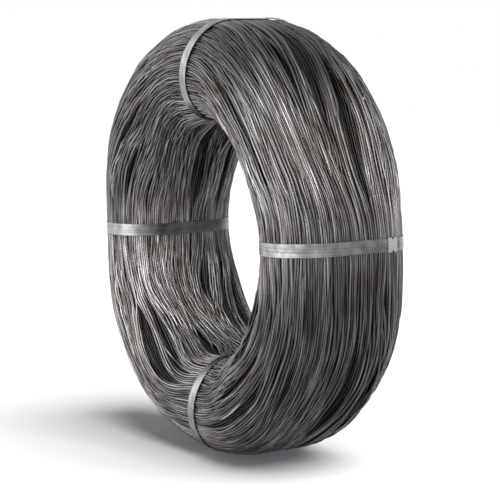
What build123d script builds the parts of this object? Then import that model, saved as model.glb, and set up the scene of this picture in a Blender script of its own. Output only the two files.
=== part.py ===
"""Coil of hot-rolled steel wire rod, bound with four steel straps, in millimetres.

The coil stands on its rim with its bore level. The origin is the centre of the bore, +Y runs along
the bore towards the back end and +Z is up. The rod is one piece, wound in turns that lie side by
side in laps. It is made as one ring about the bore, and its laps show as ridges on the ends and on
the rim. Each strap draws the ring in where it grips it, and lies in a shallow seat in the rods.
"""

import os
from math import asin, atan2, cos, degrees, hypot, pi, radians, sin, tan

from build123d import *

# Rod and ring
ROD_DIAMETER = 5.5
OUTSIDE_DIAMETER = 1150.0  # midway between two straps
BORE_DIAMETER = 610.0
COIL_WIDTH = 390.0  # end to end, midway between two straps
BARREL_LENGTH = 120.0  # straight part of the bore wall and of the rim
RODS_ACROSS_LAP = 11
LAP_DEPTH = 6.0  # from the crest of a lap to the valley beside it, midway between two straps
PRESSED_LAP_DEPTH = 3.5  # the same under a strap

# How far a strap draws the ring in
RIM_DRAW = 7.5
END_DRAW = 17.0

# Straps: each one's angle round the bore, from +X, and its lean off the radial plane there
STRAPS = {
    "right": (1.0, 0.0),
    "top": (86.0, -12.5),
    "left": (179.5, 0.0),
    "bottom": (272.0, -12.5),
}
STRAP_WIDTH = 32.0
STRAP_THICKNESS = 0.9
STRAP_CLEARANCE = 0.3  # between a strap and its seat in the rods
SEAT_DEPTH = 0.8  # below the crests of the laps
SEAT_MARGIN = 2.5  # on each side of a strap, clear of its seal
TAIL_LENGTH = 64.0  # stretch where the two ends of a strap lie on each other

# Crimped seals
SEAL_LENGTH = 32.0
SEAL_SHEET = 1.2
SEAL_CLEARANCE = 0.2  # between a seal and its strap
SEAL_OFF_MIDDLE = 89.0  # along the bore, from mid-width to the middle of a seal
CRIMPS = 1  # pairs of notches along a seal
CRIMP_LENGTH = 7.0
CRIMP_DEPTH = 4.5  # in from each edge of the seal

# Steps that the lofts are made in
RING_STATIONS = (0, 1 / 8, 1 / 4, 1 / 2, 3 / 4, 7 / 8, 1)  # shares of the way to the next strap
END_STEPS = 12  # of a strap, over one end of the ring

RIM_RADIUS = OUTSIDE_DIAMETER / 2
BORE_RADIUS = BORE_DIAMETER / 2
HALF_BARREL = BARREL_LENGTH / 2


def draw_share(way):
    """How strongly the ring is drawn in, at a share of the way from one strap to the next."""
    return ((1 + cos(2 * pi * way)) / 2) ** 2


class Section:
    """Envelope of the ring's section: straight at bore and rim, with an elliptical end on each side.

    Local X is the distance from the bore's axis and local Y runs along the bore. A place on an end
    is given by its angle, from the bore (0) over the end to the rim (pi).
    """

    def __init__(self, draw=1.0, grow=0.0):
        rim = RIM_RADIUS - RIM_DRAW * draw
        self.middle = (rim + BORE_RADIUS) / 2
        self.half_depth = (rim - BORE_RADIUS) / 2 + grow
        self.end_reach = COIL_WIDTH / 2 - END_DRAW * draw - HALF_BARREL + grow
        self.lap_depth = LAP_DEPTH - (LAP_DEPTH - PRESSED_LAP_DEPTH) * draw

    def end_point(self, angle, sink=0.0):
        """Point on the back end."""
        x = self.middle - (self.half_depth - sink) * cos(angle)
        return x, HALF_BARREL + (self.end_reach - sink) * sin(angle)

    def end_direction(self, angle):
        """Unit step along the back end there, towards the rim."""
        x, y = self.half_depth * sin(angle), self.end_reach * cos(angle)
        return x / hypot(x, y), y / hypot(x, y)

    def end_length(self):
        """Length of the outline over one end."""
        return pi * (self.half_depth + self.end_reach) / 2

    def point(self, share, sink=0.0):
        """Point at a share of the way from the bore wall over the back end to the middle of the rim."""
        walked = share * (self.end_length() + HALF_BARREL)
        if walked <= self.end_length():
            return self.end_point(pi * walked / self.end_length(), sink)
        return self.end_point(pi, sink)[0], HALF_BARREL - (walked - self.end_length())

    def lapped_outline(self, laps):
        """The envelope's outline with a ridge for each lap. The bore wall reaches inside the bore."""
        half = laps // 2
        valleys = [self.point(i / half, self.lap_depth) for i in range(1, half + 1)]
        valleys.insert(0, (BORE_RADIUS - PRESSED_LAP_DEPTH, HALF_BARREL))
        crests = [self.point((i + 0.5) / half) for i in range(half)]
        arcs = list(zip(valleys, crests, valleys[1:]))
        back = [ThreePointArc(*points) for points in arcs]
        front = [ThreePointArc(*[(x, -y) for x, y in points]) for points in arcs]
        wall = Line((valleys[0][0], -HALF_BARREL), valleys[0])
        return Wire([*back, *front, wall])


def radial_plane(angle):
    """Plane through the bore's axis at an angle round it from +X, with local Y along the bore."""
    outward = Vector(cos(radians(angle)), 0, sin(radians(angle)))
    return Plane(origin=(0, 0, 0), x_dir=outward, z_dir=outward.cross(Vector(0, 1, 0)))


def round_bore(shape, angle):
    """A shape made at +X, turned about the bore to an angle from +X towards +Z."""
    return shape.rotate(Axis.Y, -angle)


def count_laps():
    """Laps round the section, an even number."""
    free = Section(draw=0)
    half_outline = free.end_length() + HALF_BARREL
    return 2 * max(4, round(half_outline / (RODS_ACROSS_LAP * ROD_DIAMETER)))


def lean_aside(radius, lean):
    """Angle round the bore by which a leaning strap is off its own angle, at a distance from the bore."""
    return degrees(atan2((radius - Section().middle) * tan(radians(lean)), radius))


def strip_outline(under, over, width, lean, end_angle):
    """Rectangle across a strip on the back end at +X, from under to over the crests of the laps."""
    section = Section()
    plane = radial_plane(lean_aside(section.end_point(end_angle)[0], lean))
    half = width / 2 * hypot(1, section.end_direction(end_angle)[0] * tan(radians(lean)))
    low, high = Section(grow=under).end_point(end_angle), Section(grow=over).end_point(end_angle)
    corners = [(*low, -half), (*high, -half), (*high, half), (*low, half)]
    return Wire.make_polygon([plane.from_local_coords(corner) for corner in corners])


def make_band(under, over, width, lean):
    """Closed strip round the ring's section at +X, leaning off the radial plane."""
    outlines = []
    for i in range(END_STEPS + 1):
        outlines.append(strip_outline(under, over, width, lean, pi * i / END_STEPS))
    back = Solid.make_loft(outlines)
    bore_side, rim_side = [
        extrude(Face(outline), BARREL_LENGTH, dir=(0, -1, 0)) for outline in (outlines[0], outlines[-1])
    ]
    return back.fuse(bore_side, mirror(back, about=Plane.XZ), rim_side)


def make_arc_of_ring(start, end, laps):
    """The wound rod from one strap to the next, lofted through its sections."""
    sections = []
    for way in RING_STATIONS:
        plane = radial_plane(start + way * (end - start))
        sections.append(plane * Section(draw_share(way)).lapped_outline(laps))
    return Solid.make_loft(sections)


def make_rod_ring():
    """The whole wound rod, bored out, with a seat under each strap."""
    laps = count_laps()
    angles = [angle for angle, lean in STRAPS.values()]
    ends = angles[1:] + [angles[0] + 360]
    arcs = [make_arc_of_ring(start, end, laps) for start, end in zip(angles, ends)]
    ring = arcs[0].fuse(*arcs[1:]) - Plane.XZ * Cylinder(BORE_RADIUS, 2 * COIL_WIDTH)
    seat_width = STRAP_WIDTH + 2 * SEAT_MARGIN
    for angle, lean in STRAPS.values():
        ring -= round_bore(make_band(-SEAT_DEPTH, 2 * LAP_DEPTH, seat_width, lean), angle)
    return ring


def seal_block(length, width, lean, ahead=0.0, aside=0.0):
    """Block across the strap at +X, centred on its seal, or ahead of that and aside."""
    section = Section()
    end_angle = pi - asin((SEAL_OFF_MIDDLE - HALF_BARREL) / section.end_reach)
    radius, reach = section.end_point(end_angle)
    step_x, step_y = section.end_direction(end_angle)
    facing = Rot(Z=degrees(atan2(step_x, -step_y)))
    place = radial_plane(lean_aside(radius, lean)).location * Pos(radius, reach) * facing
    return place * Pos(0, ahead, aside) * Box(4 * STRAP_WIDTH, length, width)


def make_strap(lean):
    """A strap at +X: a closed band, with its tail lying on it under the seal."""
    under = STRAP_CLEARANCE - SEAT_DEPTH
    over = under + STRAP_THICKNESS
    both_ends = make_band(under + STRAP_THICKNESS / 2, over + STRAP_THICKNESS, STRAP_WIDTH, lean)
    lap = both_ends & seal_block(TAIL_LENGTH, 2 * STRAP_WIDTH, lean)
    return make_band(under, over, STRAP_WIDTH, lean) + lap


def make_seal(lean):
    """A seal at +X: a sleeve bent over both ends of the strap, with crimps notched into its edges."""
    under = STRAP_CLEARANCE - SEAT_DEPTH
    over = under + 2 * STRAP_THICKNESS + SEAL_CLEARANCE
    hollow_width = STRAP_WIDTH + 2 * SEAL_CLEARANCE
    seal_width = hollow_width + 2 * SEAL_SHEET
    seal = make_band(under, over + SEAL_SHEET, seal_width, lean)
    seal &= seal_block(SEAL_LENGTH, 2 * STRAP_WIDTH, lean)
    seal -= make_band(under - SEAL_SHEET, over, hollow_width, lean)
    pitch = SEAL_LENGTH / CRIMPS
    for i in range(CRIMPS):
        ahead = (i + 0.5) * pitch - SEAL_LENGTH / 2
        for side in (-1, 1):
            seal -= seal_block(CRIMP_LENGTH, 2 * CRIMP_DEPTH, lean, ahead, side * seal_width / 2)
    return seal


if __name__ == "__main__":
    os.makedirs("parts", exist_ok=True)
    export_step(make_rod_ring(), "parts/rod_coil.step")
    for name, (angle, lean) in STRAPS.items():
        export_step(round_bore(make_strap(lean), angle), f"parts/strap_{name}.step")
        export_step(round_bore(make_seal(lean), angle), f"parts/seal_{name}.step")
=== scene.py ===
import math
import bpy
import numpy as np
from mathutils import Matrix, Vector


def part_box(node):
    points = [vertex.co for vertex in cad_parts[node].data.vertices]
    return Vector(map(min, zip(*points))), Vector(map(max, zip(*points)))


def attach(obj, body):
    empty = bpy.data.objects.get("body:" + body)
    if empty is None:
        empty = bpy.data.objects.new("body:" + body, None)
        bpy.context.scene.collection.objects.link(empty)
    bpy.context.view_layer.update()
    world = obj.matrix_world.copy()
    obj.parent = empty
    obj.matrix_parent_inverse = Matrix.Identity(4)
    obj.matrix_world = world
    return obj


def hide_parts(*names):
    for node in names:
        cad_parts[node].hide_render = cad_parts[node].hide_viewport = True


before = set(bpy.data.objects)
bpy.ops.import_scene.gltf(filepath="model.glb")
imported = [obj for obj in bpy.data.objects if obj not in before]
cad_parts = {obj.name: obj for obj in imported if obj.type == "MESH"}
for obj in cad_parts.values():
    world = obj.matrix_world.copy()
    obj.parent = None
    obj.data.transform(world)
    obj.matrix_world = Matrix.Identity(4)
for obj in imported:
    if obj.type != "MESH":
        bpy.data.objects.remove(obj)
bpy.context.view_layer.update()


# The wound rod: hot-rolled steel 5.5 mm thick, laid in turns that run side by side in laps. Between the
# straps the laps bunch up, wander and ride over each other, and under the straps they are pressed
# level. It is one length in the real coil, laid here as closed turns, each resting on those before it.
rod_radius = 0.00275
rod_steps = 180  # points along a turn
turn_angle = (1 + np.arange(rod_steps)) * math.tau / rod_steps
bore_radius, rim_radius = 0.305, 0.575
half_barrel = 0.06  # half the straight part of the bore wall, and of the rim
end_bulge = 0.135  # how far an end reaches past the barrel, midway between two straps
rim_draw, end_draw = 0.0075, 0.017  # how far a strap draws the rim and the ends in
strap_angles = np.radians([1.0, 86.0, 179.5, 272.0])
strap_leans = np.radians([0.0, -12.5, 0.0, -12.5])
free_outline = 2 * math.pi * end_bulge + 4 * half_barrel  # once round the section, between two straps
luck = np.random.default_rng(42)


def section_point(grip, along, depth):
    """Distance from the bore's axis and place along it, for a share of the way round the section.

    The way starts at the middle of the bore wall and goes over the front end, the rim and the back end.
    """
    rim = rim_radius - rim_draw * grip
    middle = (rim + bore_radius) / 2
    half_depth = (rim - bore_radius) / 2
    end_reach = end_bulge - end_draw * grip
    end_length = math.pi * (half_depth + end_reach) / 2
    whole = 2 * end_length + 4 * half_barrel
    walked = (along % 1.0) * whole
    half_depth = half_depth - depth
    end_reach = end_reach - depth
    rim_start = half_barrel + end_length
    back_start = rim_start + 2 * half_barrel
    front_turn = math.pi * (walked - half_barrel) / end_length
    back_turn = math.pi * (walked - back_start) / end_length
    back_end = back_start + end_length
    stretches = [walked < half_barrel, walked < rim_start, walked < back_start, walked < back_end]
    across = np.select(stretches, [middle - half_depth, middle - half_depth * np.cos(front_turn),
                                   middle + half_depth, middle + half_depth * np.cos(back_turn)],
                       middle - half_depth)
    length = np.select(stretches, [-walked, -half_barrel - end_reach * np.sin(front_turn),
                                   walked - rim_start - half_barrel,
                                   half_barrel + end_reach * np.sin(back_turn)],
                       whole - walked)
    return across, length


def way_between_straps(place):
    """Share of the way from strap to strap along a turn, and its distance from the nearest strap."""
    across = float(section_point(np.ones(1), np.array([place / free_outline]), 0.0)[0][0])
    drawn_middle = (rim_radius - rim_draw + bore_radius) / 2
    ties = strap_angles + np.arctan2((across - drawn_middle) * np.tan(strap_leans), across)
    following = np.searchsorted(ties, turn_angle, side="right") % 4
    span = (ties[following] - ties[following - 1]) % math.tau
    way = ((turn_angle - ties[following - 1]) % math.tau) / span
    return way, across * span * np.minimum(way, 1 - way)


def wander(lowest, highest):
    """A smooth closed wave round the coil, of about unit size."""
    wave = np.zeros(rod_steps)
    for k in range(lowest, highest + 1):
        wave += luck.normal() * np.cos(k * turn_angle + luck.uniform(0, math.tau))
    return wave / math.sqrt((highest - lowest + 1) / 2)


drift_waves = [(k, m, luck.uniform(0, math.tau), luck.normal()) for k in range(1, 5) for m in range(0, 5)]


def drift(place):
    """How far the laps at a place on the section lean to one side, all round the coil."""
    total = np.zeros(rod_steps)
    for k, m, phase, size in drift_waves:
        total += size * np.cos(k * turn_angle + math.tau * m * place / free_outline + phase)
    return total / math.sqrt(len(drift_waves) / 2)


# Two hollows: place on the section, degrees round the coil, reach along the section and round it, depth
hollows = ((0.72, 50, 0.08, 9, 0.020), (0.69, -52, 0.10, 20, 0.014))


def sunken(place):
    """How far the winding lies below full size at a place on the section, all round the coil."""
    depth = np.zeros(rod_steps)
    for at, angle, along, around, deep in hollows:
        off = (np.degrees(turn_angle) - angle + 180) % 360 - 180
        depth += deep * np.exp(-(off / around) ** 2) * math.exp(-((place - at) / along) ** 2)
    return depth


lap_drift = 0.018
tightness, crowning = (0.5, 1.0), (0.005, 0.012)
lap_tone_spread, rod_tone_spread = 0.15, 0.32


def start_lap(middle, width, sway, level):
    """A lap at a place on the section: its path round the coil and how it bunches and crowns."""
    way, _ = way_between_straps(middle)
    loose = 1 - ((1 + np.cos(math.tau * way)) / 2) ** 3
    return {"width": width, "middle": middle, "loose": loose, "tight": luck.uniform(*tightness),
            "path": middle + loose * (lap_drift * drift(middle) + sway),
            "level": loose * level, "crown": luck.uniform(*crowning),
            "tone": luck.normal(0, lap_tone_spread)}


row_rise = 0.0047  # from one row of a lap up to the next
top_row, stray_row = 2, 3
top_row_inset = 0.012  # how much narrower the top row is than its lap
held_share = 0.15  # of a rod's wandering, left where a strap holds it
bunched_pitch, bunched_widening = 1.95, 0.2  # in rod radii: from rod to rod, and more for each row up
fine_shake = 0.0003
turns = []


def lay_row(row, lap, count, shake):
    """Lists the turns of one row of a lap: spread over its width at the straps, bunched between them."""
    spread = (lap["width"] - top_row_inset * (row == top_row)) / count
    bunched = min(spread, (bunched_pitch + bunched_widening * row) * rod_radius)
    pitch = spread + (bunched - spread) * lap["loose"] * lap["tight"]
    for i in luck.permutation(count):
        off_middle = i + 0.5 - count / 2
        aside = off_middle * pitch
        freedom = held_share + (1 - held_share) * lap["loose"]
        stray = freedom * (shake * wander(2, 12) + fine_shake * wander(24, 44))
        crown = lap["loose"] * lap["crown"] * (2 * aside / lap["width"]) ** 2
        turns.append({"row": row, "middle": lap["middle"], "at": lap["middle"] + off_middle * spread,
                      "place": lap["path"] + aside + stray,
                      "bed": row_rise * row + lap["level"] - crown - sunken(lap["middle"]),
                      "tone": lap["tone"] + luck.normal(0, rod_tone_spread)})


# The bed is one row of turns all round the section, and the laps lie on it
bed_pitch, bed_level, bed_shake = 0.0060, -0.004, 0.0006
for middle in np.arange(bed_pitch / 2, free_outline, bed_pitch):
    lay_row(0, start_lap(middle, bed_pitch, 0.0, bed_level), 1, bed_shake)

lap_widths = (0.028, 0.060)
narrowest_rest = 0.02  # of the outline, that still gets a lap of its own
level_wander, level_range = 0.0030, (-0.0035, 0.001)
lap_sway = 0.010
laps = []
laid = 0.0
while laid < free_outline - narrowest_rest:
    width = min(luck.uniform(*lap_widths), free_outline - laid)
    level = level_wander * wander(1, 4) + luck.uniform(*level_range)
    laps.append(start_lap(laid + width / 2, width, lap_sway * wander(1, 4), level))
    laid += width

settling_rounds = 30
closest_share = 0.40  # of two laps' widths together, between their middles
for _ in range(settling_rounds):
    for lap, neighbour in zip(laps, laps[1:]):
        closest = closest_share * (lap["width"] + neighbour["width"])
        crowding = np.maximum(closest - (neighbour["path"] - lap["path"]), 0) / 2
        lap["path"] = lap["path"] - crowding
        neighbour["path"] = neighbour["path"] + crowding

rod_shake = 0.0013
for row, pitch in ((1, 0.0064), (top_row, 0.0072)):
    for k in luck.permutation(len(laps)):
        count = round(laps[k]["width"] / pitch) - 2 * (row - 1)
        if count > 0:
            lay_row(row, laps[k], count, rod_shake)

stray_groups, stray_width, stray_sway = 14, 0.026, 0.018
for _ in range(stray_groups):
    group = start_lap(luck.uniform(0, free_outline), stray_width, stray_sway * wander(1, 3), 0.0)
    lay_row(stray_row, group, int(luck.integers(1, 6)), rod_shake)

# Each turn comes to rest on the turns laid before it. Heights are counted from where the bed lies under
# a strap, and a turn that finds no room under the crests of the laps dives under its neighbours.
free_crest, crest_draw = 0.0125, 0.0060
crest_margin, strap_margin, strap_reach = 0.0005, 0.0006, 0.030
grip_squeeze = 0.06  # the share by which the section's outline is shorter under a strap
dive, deepest_dive = 3.5, 0.012
easing_rounds = 3


def smoothed(height):
    """A height eased once towards the points before and after."""
    return (np.roll(height, 1) + 2 * height + np.roll(height, -1)) / 4


places, heights, grips, depths = (np.zeros((len(turns), rod_steps)) for _ in range(4))
for i, turn in enumerate(turns):
    way, strap_distance = way_between_straps(turn["middle"])
    grips[i] = ((1 + np.cos(math.tau * way)) / 2) ** 2
    places[i] = turn["place"]
    crest = free_crest - crest_draw * grips[i]
    ceiling = crest - crest_margin - strap_margin * np.exp(-(strap_distance / strap_reach) ** 4)
    height = np.zeros(rod_steps) if turn["row"] == stray_row else turn["bed"]
    if i > 0:
        apart = (places[:i] - places[i] + free_outline / 2) % free_outline - free_outline / 2
        apart = apart * (1 - grip_squeeze * grips[i])
        lift = heights[:i] + np.sqrt(np.maximum((2 * rod_radius) ** 2 - apart ** 2, 0))
        height = np.maximum(height, np.where(np.abs(apart) < 2 * rod_radius, lift, -1.0).max(axis=0))
    eased = np.maximum(height, np.maximum(np.roll(height, 1), np.roll(height, -1)))
    for _ in range(easing_rounds):
        eased = smoothed(eased)
    no_room = np.maximum(eased - ceiling, 0)
    heights[i] = smoothed(eased - np.minimum(dive * no_room, deepest_dive))
    depths[i] = rod_radius + crest - heights[i]


def feed(node, feeds):
    """Links an output, or sets a value, at each of the node's inputs that is named."""
    for socket, source in feeds.items():
        if isinstance(source, bpy.types.NodeSocket):
            node.id_data.links.new(source, node.inputs[socket])
        else:
            node.inputs[socket].default_value = source


def add_node(tree, kind, feeds, **settings):
    """A new node of a kind, set up and fed."""
    node = tree.nodes.new("ShaderNode" + kind)
    for setting, value in settings.items():
        setattr(node, setting, value)
    feed(node, feeds)
    return node


def add_maths(tree, operation, *terms):
    """The result of one sum on single values."""
    return add_node(tree, "Math", dict(enumerate(terms)), operation=operation).outputs["Value"]


def add_noise(tree, where, scale, detail=2.0):
    """A cloudy pattern, from 0 to 1."""
    return add_node(tree, "TexNoise", {"Vector": where, "Scale": scale, "Detail": detail}).outputs["Fac"]


def add_range(tree, value, start, end, low=0.0, high=1.0, shape="LINEAR"):
    """A value between start and end carried over to low and high."""
    feeds = {"Value": value, "From Min": start, "From Max": end, "To Min": low, "To Max": high}
    return add_node(tree, "MapRange", feeds, interpolation_type=shape).outputs["Result"]


def add_ramp(tree, factor, start, start_tint, end, end_tint):
    """A tint that goes from one to another between two values."""
    ramp = add_node(tree, "ValToRGB", {"Fac": factor})
    for element, place, tint in zip(ramp.color_ramp.elements, (start, end), (start_tint, end_tint)):
        element.position = place
        element.color = (*tint, 1)
    return ramp.outputs["Color"]


def add_bump(tree, height, strength, distance):
    """A fine relief."""
    feeds = {"Height": height, "Strength": strength, "Distance": distance}
    return add_node(tree, "Bump", feeds).outputs["Normal"]


def scale_tint(tree, tint, share):
    """A tint made darker or lighter by a share."""
    return add_node(tree, "VectorMath", {0: tint, "Scale": share}, operation="SCALE").outputs["Vector"]


def start_material(name):
    """A new material: itself, its node tree, its shader and the place on the coil."""
    material = bpy.data.materials.new(name)
    material.use_nodes = True
    tree = material.node_tree
    return material, tree, tree.nodes["Principled BSDF"], add_node(tree, "TexCoord", {}).outputs["Object"]


def round_the_bore(tree, where):
    """The part of a place that lies across the bore's axis."""
    return add_node(tree, "VectorMath", {0: where, 1: (1, 0, 1)}, operation="MULTIPLY").outputs["Vector"]


def painted_shade_patch(tree, where, centre, near, far, left):
    """Painted shade round a place: the share of its tint left at the centre, and all of it further off."""
    off = add_node(tree, "VectorMath", {0: where, 1: centre}, operation="DISTANCE").outputs["Value"]
    return add_range(tree, off, near, far, low=left, shape="SMOOTHSTEP")


brown_scale, grey_scale = (0.070, 0.057, 0.049), (0.078, 0.071, 0.068)
bared_steel = (0.200, 0.196, 0.201, 1)
rod_steel, tree, shader, where = start_material("rod_mill_scale")
rod_tone, rod_place, rod_lit = (
    add_node(tree, "Attribute", {}, attribute_name=mark).outputs["Fac"]
    for mark in ("rod_tone", "rod_place", "rod_lit")
)
own_pattern = add_maths(tree, "MULTIPLY_ADD", rod_tone, 0.25, rod_place)
direction = add_node(tree, "VectorMath", {0: round_the_bore(tree, where)}, operation="NORMALIZE")
streak_feeds = {"Vector": direction.outputs["Vector"], "W": own_pattern, "Scale": 5.0, "Detail": 3.0,
                "Roughness": 0.5}
streaks = add_node(tree, "TexNoise", streak_feeds, noise_dimensions="4D").outputs["Fac"]
bared = add_range(tree, streaks, 0.36, 0.70)
mill_scale = add_ramp(tree, add_noise(tree, where, 5.0, 3.0), 0.38, brown_scale, 0.62, grey_scale)
surface_feeds = {"Factor": bared, "A": mill_scale, "B": bared_steel}
surface = add_node(tree, "Mix", surface_feeds, data_type="RGBA").outputs["Result"]
# Painted shade: darker rod on the lower part of the rim side and on the upper shoulder.
painted_shade_low_side = painted_shade_patch(tree, where, centre=(0.50, 0.02, -0.24), near=0.12, far=0.36, left=0.48)
painted_shade_shoulder = painted_shade_patch(tree, where, centre=(0.23, 0.05, 0.53), near=0.10, far=0.42, left=0.38)
painted_shade_both = add_maths(tree, "MULTIPLY", painted_shade_low_side, painted_shade_shoulder)
# Painted shade: rods deep in the grooves between laps are darker, and proud ones lighter.
painted_groove_shade = add_range(tree, rod_lit, 0.0, 1.0, low=0.30, high=1.35)
tone_and_painted_shade = add_maths(tree, "MULTIPLY", rod_tone, painted_shade_both)
feed(shader, {
    "Metallic": 0.85,
    "Base Color": scale_tint(tree, surface, add_maths(tree, "MULTIPLY", tone_and_painted_shade, painted_groove_shade)),
    "Roughness": add_range(tree, bared, 0.0, 1.0, low=0.42, high=0.31),
    "Normal": add_bump(tree, add_noise(tree, where, 520.0), 0.35, 0.0004),
})

darkest_rod, lightest_rod = 0.45, 1.9
shaded_depth = 0.010  # below which a rod is fully in the shade of its lap
pattern_spread = 17.0  # how quickly the streaks change from rod to rod across a lap


def make_turns(name, chosen, sides_step=1, every=1):
    """One mesh of the chosen turns of rod, with their own tones."""
    curve = bpy.data.curves.new(name, "CURVE")
    curve.dimensions = "3D"
    curve.bevel_depth = rod_radius
    curve.bevel_resolution = sides_step
    angle = turn_angle[::every]
    for i in chosen:
        across, length = section_point(grips[i], places[i] / free_outline, depths[i])
        spline = curve.splines.new("POLY")
        spline.points.add(len(angle) - 1)
        spot = np.stack([across[::every] * np.cos(angle), length[::every], across[::every] * np.sin(angle),
                         np.ones(len(angle))], axis=1)
        spline.points.foreach_set("co", spot.ravel())
        spline.use_cyclic_u = True
        spline.use_smooth = True
    holder = bpy.data.objects.new(name, curve)
    bpy.context.scene.collection.objects.link(holder)
    bpy.ops.object.select_all(action="DESELECT")
    holder.select_set(True)
    bpy.context.view_layer.objects.active = holder
    bpy.ops.object.convert(target="MESH")
    piece = bpy.context.object
    piece.name = name
    corners = len(piece.data.vertices) // len(chosen)
    tones = np.clip([1 + turns[i]["tone"] for i in chosen], darkest_rod, lightest_rod)
    pattern_places = pattern_spread * np.array([turns[i]["at"] for i in chosen])
    # Painted shade: 1 where a rod lies proud, down to 0 deep in its lap's groove, for darkening it in the
    # material.
    lit = np.clip(1 - (depths[chosen][:, ::every] - rod_radius) / shaded_depth, 0, 1)
    marks = {"rod_tone": np.repeat(tones, corners), "rod_place": np.repeat(pattern_places, corners),
             "rod_lit": np.repeat(lit, corners // len(angle))}
    for mark, values in marks.items():
        layer = piece.data.attributes.new(mark, "FLOAT", "POINT")
        layer.data.foreach_set("value", values)
    piece.data.materials.clear()
    piece.data.materials.append(rod_steel)
    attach(piece, "root")
    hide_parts("rod_coil")


order = np.argsort([turn["middle"] for turn in turns])
bed, middle_row, crown_row, strays = [[i for i in order if turns[i]["row"] == row] for row in range(4)]
third, half = len(middle_row) // 3, len(crown_row) // 2
make_turns("rod_bed", bed, sides_step=0, every=2)
make_turns("rod_middle_front", middle_row[:third])
make_turns("rod_middle_rim", middle_row[third:2 * third])
make_turns("rod_middle_back", middle_row[2 * third:])
make_turns("rod_crown_front", crown_row[:half])
make_turns("rod_crown_back", crown_row[half:])
make_turns("rod_strays", strays)


# The turns deep inside the coil, which show only as darkness between the outer ones. They are one
# closed ring, well below the second layer, coloured near black as painted shade.
inside_radius, inside_half_depth, inside_stretch = 0.4365, 0.098, 1.5
deepest_shade, upper_shade = (0.014, 0.013, 0.012), (0.028, 0.027, 0.026)
bpy.ops.object.select_all(action="DESELECT")
bpy.ops.mesh.primitive_torus_add(major_radius=inside_radius, minor_radius=inside_half_depth,
                                 major_segments=120, minor_segments=40, rotation=(math.pi / 2, 0, 0))
inside = bpy.context.object
inside.name = "rod_inside"
bpy.ops.object.transform_apply(location=True, rotation=True, scale=True)
bpy.ops.object.mode_set(mode="EDIT")
bpy.ops.mesh.select_all(action="SELECT")
bpy.ops.transform.resize(value=(1, inside_stretch, 1))
bpy.ops.object.mode_set(mode="OBJECT")
bpy.ops.object.shade_smooth()
inside_dark, tree, shader, where = start_material("rod_in_shade")
deep_tint = add_ramp(tree, add_noise(tree, where, 30.0, 3.0), 0.0, deepest_shade, 1.0, upper_shade)
feed(shader, {"Base Color": deep_tint, "Roughness": 0.9})
inside.data.materials.append(inside_dark)
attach(inside, "root")


# The four straps: cold-rolled steel strip 32 mm wide, pulled tight round the section. The strip has scuffs
# along its length. It is darker where it crosses the rim than on the ends of the coil, which is painted
# shade, and darker still in the bore, which is painted dark reflection. Each keeps its CAD shape.
stained_strip, bright_strip = (0.172, 0.168, 0.163), (0.362, 0.371, 0.380)
strap_finishes = {}
for lie, stretch in (("level", (5, 5, 420)), ("upright", (420, 5, 5))):
    strap_steel, tree, shader, where = start_material("strap_steel_" + lie)
    along_strip = add_node(tree, "Mapping", {"Vector": where, "Scale": stretch}).outputs["Vector"]
    scuffs = add_noise(tree, along_strip, 1.0, 3.0)
    stains = add_noise(tree, where, 38.0, 4.0)
    wear = add_maths(tree, "MULTIPLY", add_maths(tree, "ADD", scuffs, stains), 0.5)
    strip = add_ramp(tree, wear, 0.40, stained_strip, 0.62, bright_strip)
    spot = add_node(tree, "SeparateXYZ", {"Vector": where})
    from_middle = add_maths(tree, "ABSOLUTE", spot.outputs["Y"])
    # Painted shade: the strip darker where it crosses the rim and the bore than on the ends.
    painted_shade_off_ends = add_range(tree, from_middle, 0.105, 0.150, low=0.52)
    off_axis = add_node(tree, "VectorMath", {0: round_the_bore(tree, where)}, operation="LENGTH")
    # Painted dark reflection: the strip darker inside the bore.
    painted_shade_in_bore = add_range(tree, off_axis.outputs["Value"], 0.31, 0.36, low=0.42)
    feed(shader, {
        "Metallic": 0.9,
        "Base Color": scale_tint(tree, strip, add_maths(tree, "MULTIPLY", painted_shade_off_ends, painted_shade_in_bore)),
        "Roughness": add_range(tree, stains, 0.0, 1.0, low=0.24, high=0.44),
        "Normal": add_bump(tree, scuffs, 0.25, 0.0006),
    })
    strap_finishes[lie] = strap_steel


def dress(node, material):
    """Gives a node of the CAD model its finish."""
    for material_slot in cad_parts[node].material_slots:
        material_slot.material = material


for side, lie in (("right", "level"), ("top", "upright"), ("left", "level"), ("bottom", "upright")):
    dress("strap_" + side, strap_finishes[lie])


# The seals: zinc-plated sheet steel, folded over both ends of a strap and notched into its edges with a
# crimping tool. Each keeps its CAD shape.
dull_zinc, bright_zinc = (0.270, 0.274, 0.279), (0.435, 0.444, 0.458)
seal_zinc, tree, shader, where = start_material("seal_zinc")
spangle = add_node(tree, "TexVoronoi", {"Vector": where, "Scale": 260.0}).outputs["Color"]
feed(shader, {
    "Metallic": 0.9,
    "Base Color": add_ramp(tree, spangle, 0.0, dull_zinc, 1.0, bright_zinc),
    "Roughness": add_range(tree, add_noise(tree, where, 90.0), 0.0, 1.0, low=0.22, high=0.42),
})
for side in ("right", "top", "left", "bottom"):
    dress("seal_" + side, seal_zinc)


# The floor and the studio: a plain white floor that runs out into a white backdrop. Four soft lamps
# light the coil from above, from the right, from the front and from the left. One more, high up at the
# right, lights the floor alone, so that the shadow falls to the left.
low = min(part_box("strap_bottom")[0][2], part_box("rod_coil")[0][2])
bpy.ops.object.select_all(action="DESELECT")
bpy.ops.mesh.primitive_plane_add(size=40, location=(0, 0, low))
studio_floor = bpy.context.object
studio_floor.name = "studio_floor"


def add_ray_test(tree, *kinds):
    """1 where the light ray is of a kind that is named, otherwise 0."""
    path = add_node(tree, "LightPath", {})
    found = path.outputs[kinds[0]]
    for kind in kinds[1:]:
        found = add_maths(tree, "MAXIMUM", found, path.outputs[kind])
    return found


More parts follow.
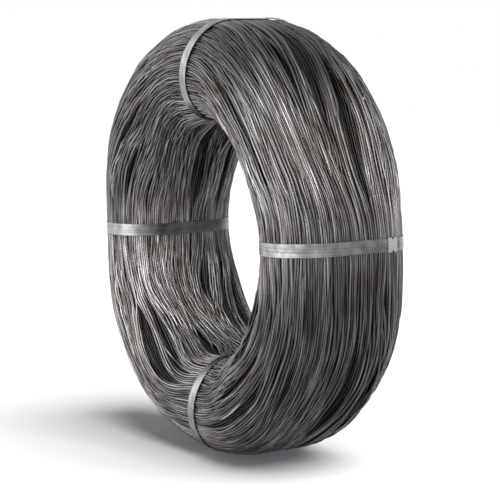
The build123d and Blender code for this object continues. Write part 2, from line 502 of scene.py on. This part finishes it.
floor_white, tree, shader, _ = start_material("floor_white")
seen = add_ray_test(tree, "Is Camera Ray", "Is Glossy Ray")
feed(shader, {
    "Base Color": (0.86, 0.86, 0.86, 1),
    "Roughness": 1.0,
    "Specular IOR Level": 0.0,
    "Emission Color": (0.90, 0.92, 1.0, 1),
    "Emission Strength": add_maths(tree, "MULTIPLY", seen, 0.09),
})
studio_floor.data.materials.append(floor_white)

studio = bpy.data.worlds.new("studio")
bpy.context.scene.world = studio
studio.use_nodes = True
tree = studio.node_tree
air = tree.nodes["Background"]
feed(air, {"Color": (1, 1, 1, 1), "Strength": 0.14})
backdrop = add_node(tree, "Background", {"Color": (1, 1, 1, 1), "Strength": 1.0})
seen = add_ray_test(tree, "Is Camera Ray", "Is Glossy Ray", "Is Transmission Ray")
either_feeds = {"Fac": seen, 1: air.outputs["Background"], 2: backdrop.outputs["Background"]}
either = add_node(tree, "MixShader", either_feeds)
feed(tree.nodes["World Output"], {"Surface": either.outputs["Shader"]})


def soft_sun(name, towards, strength, width, floor_share):
    """A wide soft lamp far away, in the direction given. It lights the floor alone, or all but the floor."""
    lamp = bpy.data.lights.new(name, "SUN")
    lamp.energy = strength
    lamp.angle = math.radians(width)
    holder = bpy.data.objects.new(name, lamp)
    bpy.context.scene.collection.objects.link(holder)
    holder.rotation_euler = (-Vector(towards)).to_track_quat("-Z", "Y").to_euler()
    reach = bpy.data.collections.new(name + "_reach")
    reach.objects.link(studio_floor)
    reach.collection_objects[0].light_linking.link_state = floor_share
    holder.light_linking.receiver_collection = reach


soft_sun("light_overhead", (0.26, -0.60, 0.76), 2.1, 40, "EXCLUDE")
soft_sun("light_right", (0.80, -0.20, 0.36), 2.2, 24, "EXCLUDE")
soft_sun("light_front_left", (-0.12, -0.88, 0.28), 2.5, 45, "EXCLUDE")
soft_sun("light_left", (-0.70, -0.60, 0.15), 0.8, 60, "EXCLUDE")
soft_sun("light_floor", (0.71, 0.15, 1.08), 4.6, 54, "INCLUDE")


# The camera: at the photograph's viewing angle, with a long lens. Places in the photograph are in pixels
# from its upper left corner.
photo_size = 500
middle_in_photo = (242.69, 235.64)
radius_in_photo = 218.68  # what the outside radius covers at the coil's middle
radii_away = 7.5
azimuth, elevation, roll = math.radians(60.89), math.radians(5.30), math.radians(-1.68)
back = Vector((math.sin(azimuth) * math.cos(elevation), -math.cos(azimuth) * math.cos(elevation),
               math.sin(elevation)))
unrolled_right = Vector((math.cos(azimuth), math.sin(azimuth), 0))
unrolled_up = back.cross(unrolled_right)
right = math.cos(roll) * unrolled_right + math.sin(roll) * unrolled_up
up = math.cos(roll) * unrolled_up - math.sin(roll) * unrolled_right
lens = bpy.data.cameras.new("camera")
lens.sensor_width = 36.0
lens.lens = radius_in_photo * radii_away / photo_size * lens.sensor_width
lens.shift_x = (photo_size / 2 - middle_in_photo[0]) / photo_size
lens.shift_y = (middle_in_photo[1] - photo_size / 2) / photo_size
camera = bpy.data.objects.new("camera", lens)
bpy.context.scene.collection.objects.link(camera)
facing = Matrix((right, up, back)).transposed().to_4x4()
camera.matrix_world = Matrix.Translation(back * rim_radius * radii_away) @ facing
bpy.context.scene.camera = camera
bpy.context.scene.view_settings.view_transform = "Standard"
